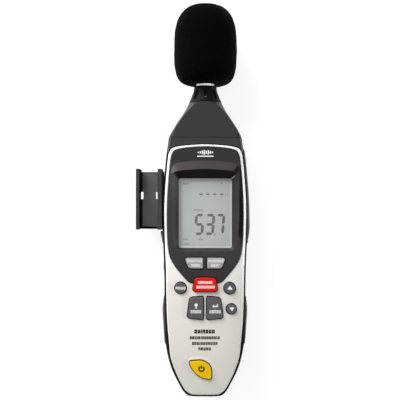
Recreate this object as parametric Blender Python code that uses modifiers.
"""Hand-held sound level meter, lying on its back.

Frame: +Z out of the display, +Y along the body towards the microphone, +X to the right when the display is
read. The origin lies on the flat back, under the middle of the display. Sizes are in metres, built from
millimetres (MM).
"""

import math

import bmesh
import bpy
from mathutils import Vector

MM = 0.001

# ---------------------------------------------------------------- driving dimensions, in millimetres
GAP = 0.3                # between solids that touch
SEAM_Y = 44.1            # body to neck
NECK_TOP_Y = 69.6        # neck to sensor cap
CAP_TOP_Y = 81.4         # top of the sensor cap
MIC_Z = 23.0             # height of the microphone's axis over the back
NECK_R = 11.7            # neck where it turns round
CAP_TOP_R = 8.0
MIC_R = 6.35             # half-inch microphone
PARTING_Z = 28.0         # rear case to front case
FRONT_Z = 34.8           # face of the front case
FRONT_SKIN = 2.0         # wall of the front case
WALL = 2.2               # wall of the cases
BEZEL_Z = 35.5           # flat part of the display bezel
WINDOW_Z = 32.1          # face of the window
WINDOW_HALF = (18.75, 24.55)
WINDOW_Y = -9.25         # middle of the window
KEY_TRAVEL = 0.8
KEY_CLEARANCE = 0.45
FLANGE = 0.8             # how far a key's flange reaches past the key
FLANGE_Z = (31.4, 32.4)
BOARD_Z = (24.3, 25.9)
MAT_WEB_Z = (26.2, 27.2)
FOAM_R = 22.5
FOAM_Y = (82.3, 140.0)
BATTERY_HALF_X = 13.25
BATTERY_Y = (-108.0, -62.0)
BATTERY_Z = (3.4, 20.9)
COVER_HALF_X = 17.0
COVER_Y = (-114.0, -52.0)
COVER_SCREW_Y = -55.2
COVER_Z = (0.4, 2.2)
TRIPOD_Y = -30.0
JACK_Y = -48.0
SOCKET_Z = 14.5
HOLDER_X = (-49.4, -31.0)
HOLDER_Y = (-21.2, 22.2)
HOLDER_Z = (8.0, 28.0)
RAIL_Y = (-19.0, 17.0)

# Half outlines, from the top of the middle line round the right side to the bottom of it.
CASE_HALF = [(0, 62), (20, 62), (25.2, 58.5), (26.6, 52), (26.6, 44.2), (28.2, 32), (29.5, 18), (30.5, 2),
             (30.75, -15), (30.4, -30), (29.8, -44), (29.4, -62), (29.3, -85), (28.7, -101), (26.9, -112),
             (24.1, -121.3), (19.2, -131.4), (15.6, -137.4), (12.1, -140.2), (6, -140.9), (0, -140.9)]
PANEL_HALF = [(0, 39.3), (10.5, 38.8), (19.6, 37.7), (24.0, 36.1), (25.6, 33.0), (26.4, 27.6), (27.7, 14.0),
              (28.5, 1), (28.7, -10), (28.3, -28.5), (27.5, -48), (27.2, -66), (26.5, -86), (25.3, -99.5),
              (24.0, -111), (20.4, -121.4), (16.2, -130), (13.4, -134.2), (10.0, -136.5), (5, -137.1), (0, -137.1)]
BEZEL_HALF = [(0, 37.6), (11, 37.0), (18.6, 35.9), (22.2, 34.4), (23.7, 31.5), (25.2, 20.6), (26.0, 10.5),
              (26.6, 0), (26.8, -10.5), (26.4, -28), (25.7, -35.2), (24.5, -40.4), (22.0, -45.2), (17.0, -51.7),
              (12.6, -56.6), (10.6, -58.1), (7, -58.4), (0, -58.4)]
VISOR_HALF = [(0, 27.6), (12, 27.1), (21.5, 25.4), (24.0, 21.0), (25.2, 0), (25.2, -12), (24.6, -28),
              (22.8, -36.2), (19, -37.4), (0, -37.8)]
CREST_HALF = [(0, 21.6), (12, 21.0), (21.0, 19.6), (22.9, 17.5), (23.6, 0), (23.6, -12), (22.6, -27),
              (20.6, -34.2), (18.2, -35.6), (0, -36.2)]
# Side profiles: how far the side lies inside the widest outline at each height.
CASE_SIDE = [(5.2, 0.0), (2.6, 1.0), (1.2, 3.2), (0.35, 8.0), (0.0, 15.0), (0.1, 21.0), (1.1, PARTING_Z)]
CASE_INSIDE = [(4.4, PARTING_Z), (4.4, 26.9), (3.0, 25.6), (2.4, 16.0), (3.8, 3.6), (5.8, 2.5)]
SHOULDER_SIDE = [(1.1, PARTING_Z + GAP), (1.3, 31.2), (1.7, 33.4), (2.3, 34.4), (3.3, FRONT_Z)]
PANEL_SIDE = [(0.0, PARTING_Z + GAP), (0.0, 33.4), (0.3, 34.3), (1.0, FRONT_Z)]
# Half width of the neck along Y. Its front is a round flare that the plane of the front case cuts flat.
NECK_WIDTH = [(SEAM_Y, 26.6), (46.4, 25.8), (48.5, 24.7), (52.8, 21.9), (57.1, 18.9), (61.5, 16.0),
              (65.8, 13.5), (NECK_TOP_Y, NECK_R)]
# Half the width of the neck's flat front face, which ends in an arch at the cap.
NECK_FACE = [(SEAM_Y, 24.3), (48.0, 22.8), (52.0, 20.4), (56.5, 17.5), (60.3, 14.7), (64.3, 11.2), (66.8, 8.5),
             (68.6, 5.0), (NECK_TOP_Y, 0.0)]

# ---------------------------------------------------------------- scene
for old in list(bpy.data.objects):
    bpy.data.objects.remove(old)
MODEL = bpy.data.collections.new("sound_level_meter")
CUTTERS = bpy.data.collections.new("cutters")
bpy.context.scene.collection.children.link(MODEL)
bpy.context.scene.collection.children.link(CUTTERS)


def material(name, colour, roughness=0.5, metallic=0.0):
    made = bpy.data.materials.new(name)
    made.use_nodes = True
    shader = made.node_tree.nodes["Principled BSDF"]
    shader.inputs["Base Color"].default_value = (*colour, 1.0)
    shader.inputs["Roughness"].default_value = roughness
    shader.inputs["Metallic"].default_value = metallic
    return made


BLACK_PLASTIC = material("black_plastic", (0.035, 0.033, 0.034), 0.5)
SILVER_PLASTIC = material("silver_plastic", (0.74, 0.71, 0.67), 0.42)
RUBBER = material("grip_rubber", (0.06, 0.06, 0.06), 0.7)
FOAM = material("foam", (0.008, 0.007, 0.008), 0.95)
DARK_KEY = material("dark_key", (0.11, 0.105, 0.115), 0.5)
GREY_KEY = material("grey_key", (0.36, 0.345, 0.35), 0.5)
RED_KEY = material("red_key", (0.6, 0.02, 0.01), 0.4)
YELLOW_KEY = material("yellow_key", (0.75, 0.5, 0.01), 0.4)
CLEAR = material("clear_plastic", (0.8, 0.85, 0.84), 0.1)
LCD = material("lcd_glass", (0.42, 0.46, 0.44), 0.2)
WHITE_PLASTIC = material("white_plastic", (0.8, 0.8, 0.78), 0.5)
SILICONE = material("silicone", (0.3, 0.3, 0.3), 0.6)
BOARD = material("circuit_board", (0.02, 0.14, 0.05), 0.5)
CHIP = material("chip", (0.02, 0.02, 0.02), 0.5)
NICKEL = material("nickel", (0.7, 0.69, 0.67), 0.25, 1.0)
STEEL = material("steel", (0.5, 0.5, 0.5), 0.35, 1.0)
BRASS = material("brass", (0.65, 0.48, 0.2), 0.3, 1.0)
BATTERY_SKIN = material("battery_skin", (0.05, 0.06, 0.09), 0.4)
RED_WIRE = material("red_wire", (0.5, 0.02, 0.02), 0.5)
BLACK_WIRE = material("black_wire", (0.02, 0.02, 0.02), 0.5)
SOCKET_YELLOW = material("socket_yellow", (0.7, 0.5, 0.03), 0.5)


# ---------------------------------------------------------------- outlines
def smooth(points, per_span=3):
    """Points along a Catmull-Rom curve through an open list of points."""
    ends = [points[0], *points, points[-1]]
    curve = []
    for a, b, c, d in zip(ends, ends[1:], ends[2:], ends[3:]):
        for step in range(per_span):
            t = step / per_span
            curve.append(tuple(
                0.5 * (2 * b[k] + (c[k] - a[k]) * t + (2 * a[k] - 5 * b[k] + 4 * c[k] - d[k]) * t * t
                       + (3 * b[k] - a[k] - 3 * c[k] + d[k]) * t ** 3)
                for k in range(2)))
    return [*curve, points[-1]]


def whole(half, per_span=2):
    """The closed outline of a half: down the right side, then up the left one."""
    right = smooth(half, per_span)
    return right + [(-x, y) for x, y in reversed(right[1:-1])]


def rounded(corners, radius, steps=3):
    """A clockwise polygon with an arc at each corner; radius is one size or one for each corner."""
    radii = radius if isinstance(radius, (list, tuple)) else [radius] * len(corners)
    outline = []
    for i, corner in enumerate(corners):
        here = Vector(corner)
        before = (Vector(corners[i - 1]) - here).normalized()
        after = (Vector(corners[(i + 1) % len(corners)]) - here).normalized()
        half_angle = before.angle(after) / 2
        middle = here + (before + after).normalized() * radii[i] / math.sin(half_angle)
        reach = radii[i] / math.tan(half_angle)
        start, end = here + before * reach - middle, here + after * reach - middle
        for step in range(steps + 1):
            spoke = start.lerp(end, step / steps).normalized() * radii[i]
            outline.append(tuple(middle + spoke))
    return outline


def circle(centre, radius, count=20):
    """A clockwise circle."""
    angles = [math.tau * i / count for i in range(count)]
    return [(centre[0] + radius * math.sin(angle), centre[1] + radius * math.cos(angle)) for angle in angles]


def inset(outline, distance):
    """A clockwise outline moved in by a distance, or out by a negative one."""
    if not distance:
        return list(outline)
    moved = []
    for i, point in enumerate(outline):
        before, after = Vector(outline[i - 1]), Vector(outline[(i + 1) % len(outline)])
        here = Vector(point)
        a, b = (here - before).normalized(), (after - here).normalized()
        inward = Vector((a.y + b.y, -a.x - b.x)).normalized()
        squeeze = max(0.5, inward.dot(Vector((a.y, -a.x))))
        moved.append(tuple(here + inward * distance / squeeze))
    return moved


# ---------------------------------------------------------------- solids
def show(name, data, look):
    """A new object for a mesh or curve; one with no look is a cutter."""
    made = bpy.data.objects.new(name, data)
    if look is None:
        CUTTERS.objects.link(made)
        made.hide_render = True
        made.display_type = "WIRE"
    else:
        MODEL.objects.link(made)
        data.materials.append(look)
    return made


def rings_mesh(name, rings, closed=False):
    """A loft through rings of (x, y, z) points in millimetres; capped at both ends, or closed on itself."""
    shape = bmesh.new()
    loops = [[shape.verts.new((x * MM, y * MM, z * MM)) for x, y, z in ring] for ring in rings]
    pairs = list(zip(loops, loops[1:]))
    if closed:
        pairs.append((loops[-1], loops[0]))
    for low, high in pairs:
        for i in range(len(low)):
            shape.faces.new((low[i - 1], low[i], high[i], high[i - 1]))
    if not closed:
        shape.faces.new(loops[0])
        shape.faces.new(loops[-1])
    bmesh.ops.recalc_face_normals(shape, faces=shape.faces)
    mesh = bpy.data.meshes.new(name)
    shape.to_mesh(mesh)
    shape.free()
    mesh.shade_smooth()
    mesh.set_sharp_from_angle(angle=math.radians(25))
    return mesh


def stack(name, outline, levels, look=None):
    """A solid from one outline at several (inset, height) levels."""
    rings = [[(x, y, z) for x, y in inset(outline, by)] for by, z in levels]
    return show(name, rings_mesh(name, rings), look)


def plate(name, outline, low, high, look=None):
    """A flat outline, drawn as a filled 2D curve and extruded by half its thickness to each side."""
    curve = bpy.data.curves.new(name, "CURVE")
    curve.dimensions = "2D"
    curve.fill_mode = "BOTH"
    curve.extrude = (high - low) / 2 * MM
    line = curve.splines.new("POLY")
    line.use_cyclic_u = True
    line.points.add(len(outline) - 1)
    for point, (x, y) in zip(line.points, outline):
        point.co = (x * MM, y * MM, 0, 1)
    drawn = bpy.data.objects.new(name + "_outline", curve)
    MODEL.objects.link(drawn)
    drawn.location.z = (low + high) / 2 * MM
    bpy.context.view_layer.update()
    mesh = bpy.data.meshes.new_from_object(drawn.evaluated_get(bpy.context.evaluated_depsgraph_get()))
    weld(mesh)
    mesh.name = name
    made = show(name, mesh, look)
    made.matrix_world = drawn.matrix_world
    bpy.data.objects.remove(drawn)
    return made


def weld(mesh):
    """Joins a curve's caps to its sides."""
    shape = bmesh.new()
    shape.from_mesh(mesh)
    bmesh.ops.remove_doubles(shape, verts=shape.verts, dist=0.001 * MM)
    bmesh.ops.recalc_face_normals(shape, faces=shape.faces)
    shape.to_mesh(mesh)
    shape.free()


def box(name, low, high, look=None):
    shape = bmesh.new()
    bmesh.ops.create_cube(shape, size=1)
    for vertex in shape.verts:
        vertex.co = Vector([(low[k] + (high[k] - low[k]) * (vertex.co[k] + 0.5)) * MM for k in range(3)])
    mesh = bpy.data.meshes.new(name)
    shape.to_mesh(mesh)
    shape.free()
    return show(name, mesh, look)


def rod(name, start, end, radius, look=None, sides=20, end_radius=None):
    """A cylinder or cone between two points."""
    a, b = Vector(start) * MM, Vector(end) * MM
    shape = bmesh.new()
    bmesh.ops.create_cone(shape, cap_ends=True, segments=sides, radius1=radius * MM,
                          radius2=(radius if end_radius is None else end_radius) * MM, depth=(b - a).length)
    turn = (b - a).to_track_quat("Z", "Y").to_matrix().to_4x4()
    turn.translation = (a + b) / 2
    bmesh.ops.transform(shape, matrix=turn, verts=shape.verts)
    mesh = bpy.data.meshes.new(name)
    shape.to_mesh(mesh)
    shape.free()
    mesh.shade_smooth()
    mesh.set_sharp_from_angle(angle=math.radians(25))
    return show(name, mesh, look)


def turned(name, profile, look, steps=32):
    """A profile of (radius, y), down the outer side, turned about the microphone's axis.

    A profile that starts and ends on the axis makes a full body; any other is joined to itself, as a ring."""
    mesh = bpy.data.meshes.new(name)
    count = len(profile)
    on_axis = profile[0][0] == 0 and profile[-1][0] == 0
    edges = [(i, i + 1) for i in range(count - 1)] + ([] if on_axis else [(count - 1, 0)])
    mesh.from_pydata([(r * MM, 0, y * MM) for r, y in profile], edges, [])
    made = show(name, mesh, look)
    made.location.z = MIC_Z * MM
    made.rotation_euler = (-math.pi / 2, 0, 0)
    screw = made.modifiers.new("turn", "SCREW")
    screw.steps = screw.render_steps = steps
    screw.use_merge_vertices = True
    screw.merge_threshold = 0.00001
    return made


def wire(name, points, radius, look):
    """A round lead along a smooth curve through points."""
    curve = bpy.data.curves.new(name, "CURVE")
    curve.dimensions = "3D"
    curve.bevel_depth = radius * MM
    curve.bevel_resolution = 2
    curve.use_fill_caps = True
    line = curve.splines.new("POLY")
    flat = smooth([(x, y) for x, y, _ in points], 4)
    heights = smooth([(z, z) for _, _, z in points], 4)
    line.points.add(len(flat) - 1)
    for point, (x, y), (z, _) in zip(line.points, flat, heights):
        point.co = (x * MM, y * MM, z * MM, 1)
    return show(name, curve, look)


def boolean(target, tool, operation="DIFFERENCE"):
    made = target.modifiers.new(tool.name, "BOOLEAN")
    made.operation = operation
    made.object = tool
    return target


def cut(target, *tools):
    for tool in tools:
        boolean(target, tool)


def fuse(target, *tools):
    for tool in tools:
        boolean(target, tool, "UNION")


# ---------------------------------------------------------------- key shapes, shared by keys, holes and pads
GREY = rounded([(-14.8, -40.3), (-1.3, -40.3), (-1.3, -48.1), (-11.5, -48.1)], [1.7, 0.9, 0.9, 2.8])
SETUP = rounded([(-10.7, -68.4), (-1.2, -67.5), (-1.2, -84.0), (-12.7, -82.7)], [2.4, 0.9, 1.1, 2.0])
RED = rounded([(-7.5, -54.5), (0.0, -54.0), (7.5, -54.5), (8.7, -64.3), (-8.7, -64.3)],
              [2.6, 9.0, 2.6, 1.9, 1.9])
POWER = rounded([(-11.2, -113.0), (-1.5, -112.0), (4.5, -116.3), (4.7, -126.0), (-3.5, -124.3), (-9.6, -118.0)],
                [1.0, 9.5, 7.0, 1.9, 9.0, 9.0])


def flipped(outline):
    return [(-x, y) for x, y in reversed(outline)]


KEYS = {
    "key_temperature": (GREY, GREY_KEY, BEZEL_Z + 0.9),
    "key_max_min": (flipped(GREY), GREY_KEY, BEZEL_Z + 0.9),
    "key_mode": (RED, RED_KEY, BEZEL_Z + 1.6),
    "key_hold": (circle((-17.2, -61.7), 4.0), DARK_KEY, FRONT_Z + 1.5),
    "key_up": (circle((17.2, -61.8), 4.0), DARK_KEY, FRONT_Z + 1.5),
    "key_down": (circle((18.4, -76.3), 3.5), DARK_KEY, FRONT_Z + 1.5),
    "key_setup": (SETUP, DARK_KEY, FRONT_Z + 1.6),
    "key_enter": (flipped(SETUP), DARK_KEY, FRONT_Z + 1.6),
    "key_power": (POWER, YELLOW_KEY, FRONT_Z + 1.7),
}
POSTS = [(-20.6, 28.0), (20.6, 28.0), (-20.6, -101.0), (20.6, -101.0)]


# ---------------------------------------------------------------- cases
def make_rear_case():
    case = stack("rear_case", whole(CASE_HALF), CASE_SIDE + CASE_INSIDE, BLACK_PLASTIC)
    cut(case, box("cut_neck_end", (-40, SEAM_Y - GAP / 2, -5), (40, 90, 60)))
    # Walls round the battery and bosses for the screws and the tripod insert, then the holes through them.
    wall_low, wall_high = 1.8, 21.6
    bay_x = BATTERY_HALF_X + 0.8
    bay_low, bay_high = BATTERY_Y[0] - 1.0, BATTERY_Y[1] + 5.0
    seat_x = COVER_HALF_X + GAP
    seat_low, seat_high = COVER_Y[0] - GAP, COVER_Y[1] + GAP
    fuse(case,
         box("add_bay_left", (-bay_x - 1.4, bay_low, wall_low), (-bay_x, bay_high, wall_high)),
         box("add_bay_right", (bay_x, bay_low, wall_low), (bay_x + 1.4, bay_high, wall_high)),
         box("add_bay_end", (-bay_x - 0.7, bay_low - 1.4, wall_low - 0.2), (bay_x + 0.7, bay_low + 0.1, 21.2)),
         rod("add_cover_boss", (0, COVER_SCREW_Y, 2.3), (0, COVER_SCREW_Y, 9.0), 2.6, sides=16),
         rod("add_tripod_boss", (0, TRIPOD_Y, 1.6), (0, TRIPOD_Y, 12.0), 7.0),
         *[rod(f"add_boss_{i}", (x, y, 1.7), (x, y, 14.0), 3.6, sides=16)
           for i, (x, y) in enumerate(POSTS)])
    cut(case,
        box("cut_cover_seat", (-seat_x, seat_low, -1), (seat_x, seat_high, 2.499)),
        box("cut_bay", (-bay_x + 0.001, bay_low + 0.3, -1), (bay_x - 0.001, bay_high - 0.3, 6)),
        rod("cut_cover_pilot", (0, COVER_SCREW_Y, -1), (0, COVER_SCREW_Y, 8.6), 1.3, sides=12),
        rod("cut_tripod", (0, TRIPOD_Y, -1), (0, TRIPOD_Y, 11.0), 4.8, sides=24),
        rod("cut_jack", (-40, JACK_Y, 15.0), (-20, JACK_Y, 15.0), 3.5),
        box("cut_socket", (-8.6, -150, 10.0), (8.6, -130, 19.0)),
        box("cut_rail_seat", (-40, RAIL_Y[0] - 4, 12.5), (-29.6, RAIL_Y[1] + 4, 23.5)),
        *[rod(f"cut_head_{i}", (x, y, -1), (x, y, 5.0), 2.9) for i, (x, y) in enumerate(POSTS)],
        *[rod(f"cut_shank_{i}", (x, y, 4), (x, y, 15), 1.6, sides=16) for i, (x, y) in enumerate(POSTS)])


def shell_levels(side):
    """The levels of a lid: down its inside, then up its outside."""
    low, foot = side[0]
    inside = [(by + WALL, z - FRONT_SKIN) for by, z in reversed(side[1:])] + [(low + WALL, foot)]
    return inside + side


def make_front_case():
    case = stack("front_case", whole(PANEL_HALF), shell_levels(PANEL_SIDE), SILVER_PLASTIC)
    bezel = whole(BEZEL_HALF)
    fuse(case, *[rod(f"add_post_{i}", (x, y, 14.4), (x, y, FRONT_Z - 1), 3.2, sides=16)
                 for i, (x, y) in enumerate(POSTS)])
    cut(case,
        plate("cut_bezel_pocket", inset(bezel, -GAP), 33.5, 40),
        plate("cut_bezel_through", inset(bezel, 2.2), 30, 40),
        *[plate(f"cut_{name}", inset(outline, -KEY_CLEARANCE), 28.0, 45)
          for name, (outline, _, _) in KEYS.items() if name not in ("key_temperature", "key_max_min")],
        *[rod(f"cut_pilot_{i}", (x, y, 13), (x, y, 26), 1.3, sides=12) for i, (x, y) in enumerate(POSTS)])


def make_shoulder():
    """The black strip between the neck's seam and the arched top of the front case."""
    strip = stack("top_shoulder", whole(CASE_HALF), shell_levels(SHOULDER_SIDE), BLACK_PLASTIC)
    boolean(strip, box("keep_shoulder", (-40, 34.0, 20), (40, SEAM_Y - GAP / 2, 50)), "INTERSECT")
    cut(strip, plate("cut_panel", inset(whole(PANEL_HALF), -GAP), 20, 50))


# ---------------------------------------------------------------- neck
def eased(t):
    return t * t * (3 - 2 * t)


def width_at(profile, y):
    """The half width that a profile of (y, half width) points has at a place along the neck."""
    for (y0, w0), (y1, w1) in zip(profile, profile[1:]):
        if y <= y1:
            return w0 + (w1 - w0) * (y - y0) / (y1 - y0)
    return profile[-1][1]


def across(profile, z):
    """How far a side profile lies inside the widest outline at a height."""
    if z <= profile[0][1]:
        return profile[0][0]
    for (by0, z0), (by1, z1) in zip(profile, profile[1:]):
        if z <= z1:
            return by0 + (by1 - by0) * (z - z0) / (z1 - z0)
    return profile[-1][0]


def front_section(y, t, split, steps=8, flat_steps=4):
    """Half of the neck's front: up the flank, part of an ellipse, to a crisp edge, then along the flat face."""
    wide, face = width_at(NECK_WIDTH, y), width_at(NECK_FACE, y)
    top = FRONT_Z + (MIC_Z + NECK_R - FRONT_Z) * t
    high_angle = math.acos(face / wide)
    tall = (top - MIC_Z) / math.sin(high_angle)
    low_angle = math.asin((split - MIC_Z) / tall)
    blend = eased(min(1.0, (y - SEAM_Y) / 12.0))
    section = []
    for k in range(steps + 1):
        angle = low_angle + (high_angle - low_angle) * k / steps
        x, z = wide * math.cos(angle), MIC_Z + tall * math.sin(angle)
        cased = (26.6 - across(SHOULDER_SIDE, z)) * wide / 26.6
        section.append((cased + (x - cased) * blend, z))
    edge = section[-1][0]
    return section + [(edge * (1 - k / flat_steps), top) for k in range(1, flat_steps + 1)]


def rear_section(y, t, split):
    """Half of the neck's back: the rear case's section, which turns into a circle."""
    wide, bottom = width_at(NECK_WIDTH, y), (MIC_Z - NECK_R) * t
    side = [(26.6 - by, z) for by, z in CASE_SIDE[::-1]]
    edge = side[-1][0]
    side += [(edge * (1 - k / 4), 0.0) for k in range(1, 5)]
    section = []
    for k, (x, z) in enumerate(side):
        angle = math.pi / 2 * k / (len(side) - 1)
        share = 1 - z / PARTING_Z
        cased = (x * wide / 26.6, split - share * (split - bottom))
        round_point = (wide * math.cos(angle), split - (split - bottom) * math.sin(angle))
        section.append(tuple(a + (b - a) * t for a, b in zip(cased, round_point)))
    return section


def neck_half(name, front, low_y, high_y, sections=12):
    """One half of the neck: a shell that turns from the case's section into a circle."""
    wall = 2.0
    rings = []
    for s in range(sections + 1):
        y = low_y + (high_y - low_y) * s / sections
        t = eased((y - SEAM_Y) / (NECK_TOP_Y - SEAM_Y))
        split = PARTING_Z + (MIC_Z - PARTING_Z) * t
        half = (front_section if front else rear_section)(y, t, split)
        far = half[-1][1]
        thinner = 1 - wall / abs(far - split)
        narrower = 1 - wall / half[0][0]
        edge = split + (GAP / 2 if front else -GAP / 2)
        outer = [(x, y, edge + (z - split) * (far - edge) / (far - split)) for x, z in half]
        inner = [(x * narrower, y, edge + (z - edge) * thinner) for x, y, z in outer]
        outer += [(-x, y, z) for x, y, z in reversed(outer[:-1])]
        inner += [(-x, y, z) for x, y, z in reversed(inner[:-1])]
        rings.append(outer + inner[::-1])
    return show(name, neck_mesh(name, rings, len(rings[0]) // 2), BLACK_PLASTIC)


def neck_mesh(name, rings, count):
    """A loft of C-shaped rings, each closed at its ends by strips of faces."""
    shape = bmesh.new()
    loops = [[shape.verts.new((x * MM, y * MM, z * MM)) for x, y, z in ring] for ring in rings]
    for low, high in zip(loops, loops[1:]):
        for i in range(len(low)):
            shape.faces.new((low[i - 1], low[i], high[i], high[i - 1]))
    for loop in (loops[0], loops[-1]):
        for i in range(count - 1):
            shape.faces.new((loop[i], loop[i + 1], loop[-i - 2], loop[-i - 1]))
    bmesh.ops.recalc_face_normals(shape, faces=shape.faces)
    mesh = bpy.data.meshes.new(name)
    shape.to_mesh(mesh)
    shape.free()
    mesh.shade_smooth()
    mesh.set_sharp_from_angle(angle=math.radians(25))
    return mesh


def make_neck():
    low, high = SEAM_Y + GAP / 2, NECK_TOP_Y - GAP / 2
    neck_half("neck_front", True, low, high)
    neck_half("neck_rear", False, low, high)


def make_sensor_cap():
    """The slotted cap that the microphone stands in; air reaches the humidity sensor through its slots."""
    low, high, hole = NECK_TOP_Y + GAP / 2, CAP_TOP_Y, MIC_R + GAP
    cap = turned("sensor_cap", [
        (hole, high), (CAP_TOP_R - 0.5, high), (CAP_TOP_R, high - 0.6), (9.5, 75.0), (NECK_R, low),
        (NECK_R - 2.0, low), (8.4, 74.6), (hole, 76.4)], BLACK_PLASTIC)
    slots = 8
    for i in range(slots):
        slot = box(f"cut_slot_{i}", (-1.0, 71.8, 7.2), (1.0, 78.3, 14.0))
        slot.location = (0, 0, MIC_Z * MM)
        slot.rotation_euler = (0, math.tau * i / slots, 0)
        cut(cap, slot)


# ---------------------------------------------------------------- microphone and windscreen
def make_microphone():
    turned("mic_barrel", [
        (MIC_R - 0.3, 112.0), (MIC_R, 111.6), (MIC_R, 77.0), (MIC_R - 0.3, 76.7), (5.2, 76.7), (5.2, 112.0)],
        NICKEL, 28)
    grid = turned("mic_grid", [
        (0, 117.2), (5.6, 117.2), (MIC_R, 116.4), (MIC_R, 112.3), (5.5, 112.3), (5.5, 115.9), (0, 115.9)],
        NICKEL, 28)
    for i in range(4):
        slot = box(f"cut_grid_{i}", (-4.3, 114.0, -0.45), (4.3, 120, 0.45))
        slot.location = (0, 0, MIC_Z * MM)
        slot.rotation_euler = (0, math.pi * i / 4, 0)
        cut(grid, slot)
    turned("mic_capsule", [(0, 111.7), (4.4, 111.7), (4.8, 111.3), (4.8, 104.0), (0, 104.0)], BRASS, 24)


def make_windscreen():
    low, high = FOAM_Y
    bore = MIC_R + GAP
    turned("windscreen", [
        (0, high), (7.4, high - 0.4), (13.3, high - 2.5), (17.6, high - 6.4), (20.4, high - 11.8),
        (22.0, high - 18.6), (FOAM_R, high - 27.0), (FOAM_R, high - 39.5), (22.0, high - 45.5), (20.6, low + 6.4),
        (18.0, low + 2.6), (13.6, low + 0.5), (9.0, low), (bore + 0.3, low + 0.9), (bore, low + 2.4),
        (bore, 119.6), (bore - 1.4, 121.0), (0, 121.0)], FOAM, 36)


# ---------------------------------------------------------------- display
def along_rays(outline, centre, count):
    """Where rays from centre meet a star-shaped outline."""
    found = []
    for i in range(count):
        angle = math.tau * i / count
        ray = Vector((math.sin(angle), math.cos(angle)))
        best = None
        for j, point in enumerate(outline):
            a = Vector(outline[j - 1]) - Vector(centre)
            b = Vector(point) - Vector(centre)
            ca, cb = ray.x * a.y - ray.y * a.x, ray.x * b.y - ray.y * b.x
            if ca * cb <= 0 and ca != cb:
                hit = a.lerp(b, ca / (ca - cb))
                if hit.dot(ray) > 0:
                    best = hit
        found.append((centre[0] + best.x, centre[1] + best.y))
    return found


def rectangle(half, centre_y, radius):
    x, y = half
    return rounded([(-x, centre_y + y), (x, centre_y + y), (x, centre_y - y), (-x, centre_y - y)], radius)


def make_bezel():
    """A dished surround: a flat outer part, a visor crest, highest over the display, and walls to the window."""
    centre = (0.0, WINDOW_Y)
    count = 80
    bezel = whole(BEZEL_HALF, 3)
    window = rectangle(WINDOW_HALF, WINDOW_Y, 1.6)
    wide = rectangle((WINDOW_HALF[0] + 2.4, WINDOW_HALF[1] + 1.6), WINDOW_Y, 1.6)
    floor_z = WINDOW_Z + GAP

    def ring(outline, height):
        points = along_rays(outline, centre, count)
        return [(x, y, height(y) if callable(height) else height) for x, y in points]

    def crest_height(y):
        return BEZEL_Z + 0.1 + 1.6 * eased(min(1.0, max(0.0, (y + 12) / 32)))

    rings = [ring(bezel, 33.8), ring(bezel, 34.8), ring(inset(bezel, 0.35), 35.3),
             ring(inset(bezel, 0.9), BEZEL_Z), ring(whole(VISOR_HALF, 3), BEZEL_Z),
             ring(whole(CREST_HALF, 3), crest_height), ring(window, floor_z + 0.4), ring(window, floor_z),
             ring(wide, floor_z), ring(wide, 33.0), ring(inset(bezel, 3.0), 33.0), ring(inset(bezel, 3.0), 33.8)]
    made = show("display_bezel", rings_mesh("display_bezel", rings, closed=True), BLACK_PLASTIC)
    cut(made, *[plate(f"cut_bezel_{name}", inset(KEYS[name][0], -KEY_CLEARANCE), 25, 45)
                for name in ("key_temperature", "key_max_min", "key_mode")])
    return made


def make_display():
    half_x, half_y = WINDOW_HALF
    lens = rectangle((half_x + 1.9, half_y + 1.1), WINDOW_Y, 1.5)
    plate("window_lens", lens, WINDOW_Z - 1.2, WINDOW_Z, CLEAR)
    glass = rectangle((21.4, 27.2), WINDOW_Y, 0.4)
    plate("lcd_glass", glass, 28.4, 30.6, LCD)
    plate("backlight", rectangle((20.6, 23.6), WINDOW_Y, 0.5), 26.3, 28.1, WHITE_PLASTIC)
    frame = plate("lcd_frame", rectangle((23.0, 28.6), WINDOW_Y, 1.0), 26.3, 30.6, WHITE_PLASTIC)
    cut(frame, plate("cut_lcd_frame", rectangle((21.4 + GAP, 27.2 + GAP), WINDOW_Y, 0.4), 20, 40))
    for name, y in (("zebra_strip_top", WINDOW_Y + 25.6), ("zebra_strip_bottom", WINDOW_Y - 25.6)):
        box(name, (-19.5, y - 1.1, 26.2), (19.5, y + 1.1, 28.1), SILICONE)


# ---------------------------------------------------------------- keys
def make_keys():
    for name, (outline, look, top) in KEYS.items():
        flange = [(-FLANGE, FLANGE_Z[0]), (-FLANGE, FLANGE_Z[1]), (0, FLANGE_Z[1])]
        stack(name, outline, flange + [(0, top - 0.7), (0.25, top - 0.25), (0.8, top)], look)


def make_keypad_mat():
    """One sheet of silicone with a pad under each key."""
    corners = [(-24.0, -39.0), (24.0, -39.0), (24.0, -86.0), (13.0, -93.0), (12.0, -123.0), (9.0, -127.5),
               (-9.0, -127.5), (-12.0, -123.0), (-13.0, -93.0), (-24.0, -86.0)]
    mat = plate("keypad_mat", rounded(corners, 1.5, 2), *MAT_WEB_Z, SILICONE)
    pad_top = FLANGE_Z[0] - KEY_TRAVEL - GAP
    fuse(mat, *[plate(f"add_pad_{name}", inset(outline, 0.5), MAT_WEB_Z[0] + 0.5, pad_top)
                for name, (outline, _, _) in KEYS.items()])
    return mat


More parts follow.
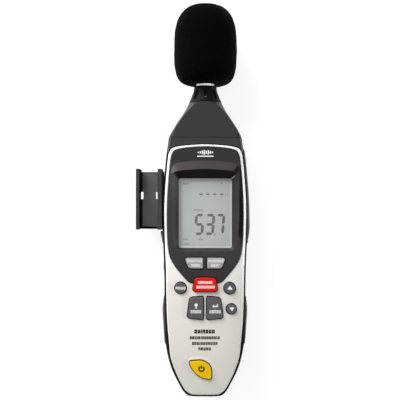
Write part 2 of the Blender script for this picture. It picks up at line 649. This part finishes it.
# ---------------------------------------------------------------- boards and inner pieces
def make_boards():
    corners = [(-15.5, 40.0), (15.5, 40.0), (16.0, 22.0), (24.6, 18.0), (25.6, -4.0), (25.4, -36.0), (24.8, -86.5),
               (15.4, -93.5), (13.5, -124.0), (10.0, -128.5), (-10.0, -128.5), (-13.5, -124.0), (-15.4, -93.5),
               (-24.8, -86.5), (-25.4, -36.0), (-25.6, -4.0), (-24.6, 18.0), (-16.0, 22.0)]
    plate("main_board", rounded(corners, 1.0, 2), *BOARD_Z, BOARD)
    box("processor", (-6.0, -16.0, BOARD_Z[0] - GAP - 1.6), (6.0, -4.0, BOARD_Z[0] - GAP), CHIP)
    box("mic_board", (-5.0, 33.0, 19.6), (5.0, 74.5, 21.0), BOARD)
    box("board_connector", (-5.0, 30.0, 21.3), (5.0, 37.0, 24.0), WHITE_PLASTIC)
    box("humidity_sensor", (-3.0, 69.0, 21.3), (3.0, 74.0, 23.4), CHIP)
    turned("mic_bush", [(MIC_R - 1.5, 76.4), (MIC_R - 1.5, 75.0), (3.0, 75.0), (3.0, 76.4)], RUBBER, 20)
    rod("buzzer", (15.0, 8.0, BOARD_Z[0] - GAP - 6), (15.0, 8.0, BOARD_Z[0] - GAP), 6.0, CHIP)


def make_battery():
    low = (-BATTERY_HALF_X, BATTERY_Y[0], BATTERY_Z[0])
    high = (BATTERY_HALF_X, BATTERY_Y[1], BATTERY_Z[1])
    battery = box("battery", low, high, BATTERY_SKIN)
    bevel = battery.modifiers.new("edges", "BEVEL")
    bevel.width = 1.5 * MM
    bevel.segments = 2
    middle = (BATTERY_Z[0] + BATTERY_Z[1]) / 2
    snap_y = BATTERY_Y[1] + GAP
    snap = box("battery_snap", (-12.4, snap_y, middle - 6.5), (12.4, snap_y + 3.2, middle + 6.5), CHIP)
    round_off = snap.modifiers.new("edges", "BEVEL")
    round_off.width = 1.2 * MM
    round_off.segments = 1
    end = snap_y + 3.2 + GAP
    for name, x, look in (("battery_lead_red", 4.0, RED_WIRE), ("battery_lead_black", -4.0, BLACK_WIRE)):
        wire(name, [(x, end, middle), (x * 1.3, end + 5.0, middle + 0.5), (x * 1.9, end + 9.0, middle + 4.0),
                    (x * 2.1, end + 10.0, middle + 8.0), (x * 2.1, end + 10.0, BOARD_Z[0] - GAP)], 0.7, look)


def make_battery_cover():
    half_length, centre_y = (COVER_Y[1] - COVER_Y[0]) / 2, sum(COVER_Y) / 2
    outline = rectangle((COVER_HALF_X, half_length), centre_y, 1.2)
    cover = plate("battery_cover", outline, *COVER_Z, BLACK_PLASTIC)
    ribs = [box(f"add_grip_{i}", (-7, COVER_Y[1] - 16 + 2.4 * i, 0.1), (7, COVER_Y[1] - 15 + 2.4 * i, 0.6))
            for i in range(4)]
    fuse(cover, *ribs)
    y = COVER_SCREW_Y
    cut(cover, rod("cut_cover_screw", (0, y, -1), (0, y, 5), 1.7, sides=16),
        rod("cut_cover_sink", (0, y, -1), (0, y, 1.5), 2.8))
    return cover


def screw(name, x, y, head_low, head_high, tip, head_radius, shank_radius):
    """A pan-head screw that points in from the back, with a cross recess."""
    top_radius = head_radius - 0.4
    made = rod(name, (x, y, head_high), (x, y, head_low), head_radius, STEEL, sides=16, end_radius=top_radius)
    fuse(made, rod(f"add_{name}", (x, y, head_high - 0.4), (x, y, tip), shank_radius, sides=12))
    arm = head_radius * 0.62
    cut(made, box(f"cut_{name}_a", (x - arm, y - 0.25, head_low - 1), (x + arm, y + 0.25, head_low + 0.6)),
        box(f"cut_{name}_b", (x - 0.25, y - arm, head_low - 1), (x + 0.25, y + arm, head_low + 0.6)))
    return made


def make_fasteners():
    for i, (x, y) in enumerate(POSTS):
        screw(f"case_screw_{i + 1}", x, y, 3.0, 4.7, 24.0, 2.5, 1.0)
    screw("cover_screw", 0, COVER_SCREW_Y, 0.5, 1.5 - GAP, 8.0, 2.4, 1.0)
    rim = 1.0
    insert = rod("tripod_insert", (0, TRIPOD_Y, rim), (0, TRIPOD_Y, 10.7), 4.5, BRASS, sides=24)
    cut(insert, rod("cut_thread", (0, TRIPOD_Y, -1), (0, TRIPOD_Y, 9.4), 2.9, sides=20))


def make_sockets():
    socket = box("type_k_socket", (-8.0, -138.6, SOCKET_Z - 3.9), (8.0, -129.5, SOCKET_Z + 3.9), SOCKET_YELLOW)
    for name, x, half in (("narrow", -4.0, 1.3), ("wide", 4.0, 1.7)):
        cut(socket, box(f"cut_{name}", (x - half, -145, SOCKET_Z - 0.5), (x + half, -132.0, SOCKET_Z + 0.5)))
    jack = rod("probe_jack", (-30.0, JACK_Y, 15.0), (-18.0, JACK_Y, 15.0), 3.1, CHIP)
    cut(jack, rod("cut_jack_bore", (-35, JACK_Y, 15.0), (-20.5, JACK_Y, 15.0), 1.8, sides=16))


# ---------------------------------------------------------------- grips, rail and probe holder
def flank_at(y):
    """Half width of the case at y, between the outline's points."""
    line = smooth(CASE_HALF, 6)
    for (x0, y0), (x1, y1) in zip(line, line[1:]):
        if y1 <= y <= y0 and y0 > y1:
            return x0 + (x1 - x0) * (y0 - y) / (y0 - y1)
    return 0.0


def grip(name, side, stations, low_z=6.0, high_z=25.0):
    """A rubber pad on the flank of the case; each station is (y, how far it stands proud)."""
    rings = []
    for y, proud in stations:
        foot = flank_at(y) + GAP
        thin = max(0.0, 1.0 - proud)
        section = [(foot - 0.6, low_z + thin), (foot + proud * 0.7, low_z + 0.8 + thin),
                   (foot + proud, low_z + 3.2), (foot + proud, high_z - 3.2),
                   (foot + proud * 0.7, high_z - 0.8 - thin), (foot - 0.6, high_z - thin)]
        rings.append([(side * x, y, z) for x, z in section])
    return show(name, rings_mesh(name, rings), RUBBER)


UPPER_GRIP = [(36.5, 0.3), (34.5, 0.6), (24.0, 0.7), (12.0, 0.8), (0.0, 1.0), (-10.0, 1.2), (-19.5, 1.4),
              (-23.5, 1.2), (-29.0, 0.5), (-31.0, 0.3)]
LOWER_GRIP = [(-70.0, 0.3), (-72.5, 0.5), (-77.0, 1.1), (-83.0, 1.0), (-90.0, 0.6), (-97.0, 0.4),
              (-103.0, 0.3)]
STOP_GRIP = [(-22.9, 1.3), (-24.0, 1.3), (-29.0, 0.5), (-31.0, 0.3)]


def make_grips():
    """Pads on both flanks; on the left the upper one is only the stop that the probe holder rests on."""
    seat = stack("grip_seat", whole(CASE_HALF), [(by - GAP, z) for by, z in CASE_SIDE])
    for name, side, stations in (("grip_upper_right", 1, UPPER_GRIP), ("grip_upper_left", -1, STOP_GRIP),
                                 ("grip_lower_right", 1, LOWER_GRIP), ("grip_lower_left", -1, LOWER_GRIP)):
        cut(grip(name, side, stations), seat)


def make_rail():
    """A T-section rail in the left flank; the probe holder slides onto it from above."""
    low_y, high_y = RAIL_Y
    middle = 18.0
    seat_x = -29.6 - GAP
    rail = box("holder_rail", (-30.6, low_y - 3.5, 12.8), (seat_x, high_y + 3.5, 23.2), BLACK_PLASTIC)
    fuse(rail,
         box("add_rail_web", (-32.3, low_y, middle - 1.2), (-30.3, high_y, middle + 1.2)),
         box("add_rail_head", (-32.9, low_y, middle - 2.4), (-32.1, high_y, middle + 2.4)))


def make_holder():
    """A U channel for a probe, open to the front and top, with a stop at the bottom and two pairs of snap bumps."""
    (left, right), (low_y, high_y), (back, front) = HOLDER_X, HOLDER_Y, HOLDER_Z
    inner_left, inner_right = left + 2.5, right - 2.9
    floor = back + 1.8
    holder = box("probe_holder", (left, low_y, back), (right, high_y - 1.6, floor), BLACK_PLASTIC)
    fuse(holder,
         box("add_left_wall", (left, low_y, back + 0.5), (inner_left, high_y, front)),
         box("add_right_wall", (inner_right, low_y, back + 0.5), (right, high_y, front)),
         box("add_stop", (left + 0.4, low_y, back + 0.4), (right - 0.4, low_y + 1.4, back + 6.0)))
    for i, y in enumerate((-13.0, 14.0)):
        fuse(holder,
             box(f"add_left_bump_{i}", (left + 0.5, y - 0.9, 17.0), (inner_left + 0.7, y + 0.9, 19.0)),
             box(f"add_right_bump_{i}", (inner_right - 0.7, y - 0.9, 17.0), (right - 1.0, y + 0.9, 19.0)))
    low_slot, high_slot = 0.6, 5.8
    cut(holder,
        box("cut_left_slot", (left + 0.8, low_slot, back - 1), (inner_left + 1.4, high_slot, back + 5)),
        box("cut_right_slot", (inner_right - 2.4, low_slot, back - 1), (inner_right, high_slot, back + 3)))
    middle, top = 18.0, RAIL_Y[1] + GAP
    cut(holder,
        box("cut_rail_head", (-33.2, low_y - 5, middle - 2.7), (-31.8, top, middle + 2.7)),
        box("cut_rail_web", (-32.5, low_y - 5, middle - 1.5), (-30.0, top, middle + 1.5)))


def main():
    make_rear_case()
    make_front_case()
    make_shoulder()
    make_neck()
    make_sensor_cap()
    make_microphone()
    make_windscreen()
    make_bezel()
    make_display()
    make_keys()
    make_keypad_mat()
    make_boards()
    make_battery()
    make_battery_cover()
    make_fasteners()
    make_sockets()
    make_grips()
    make_rail()
    make_holder()


main()
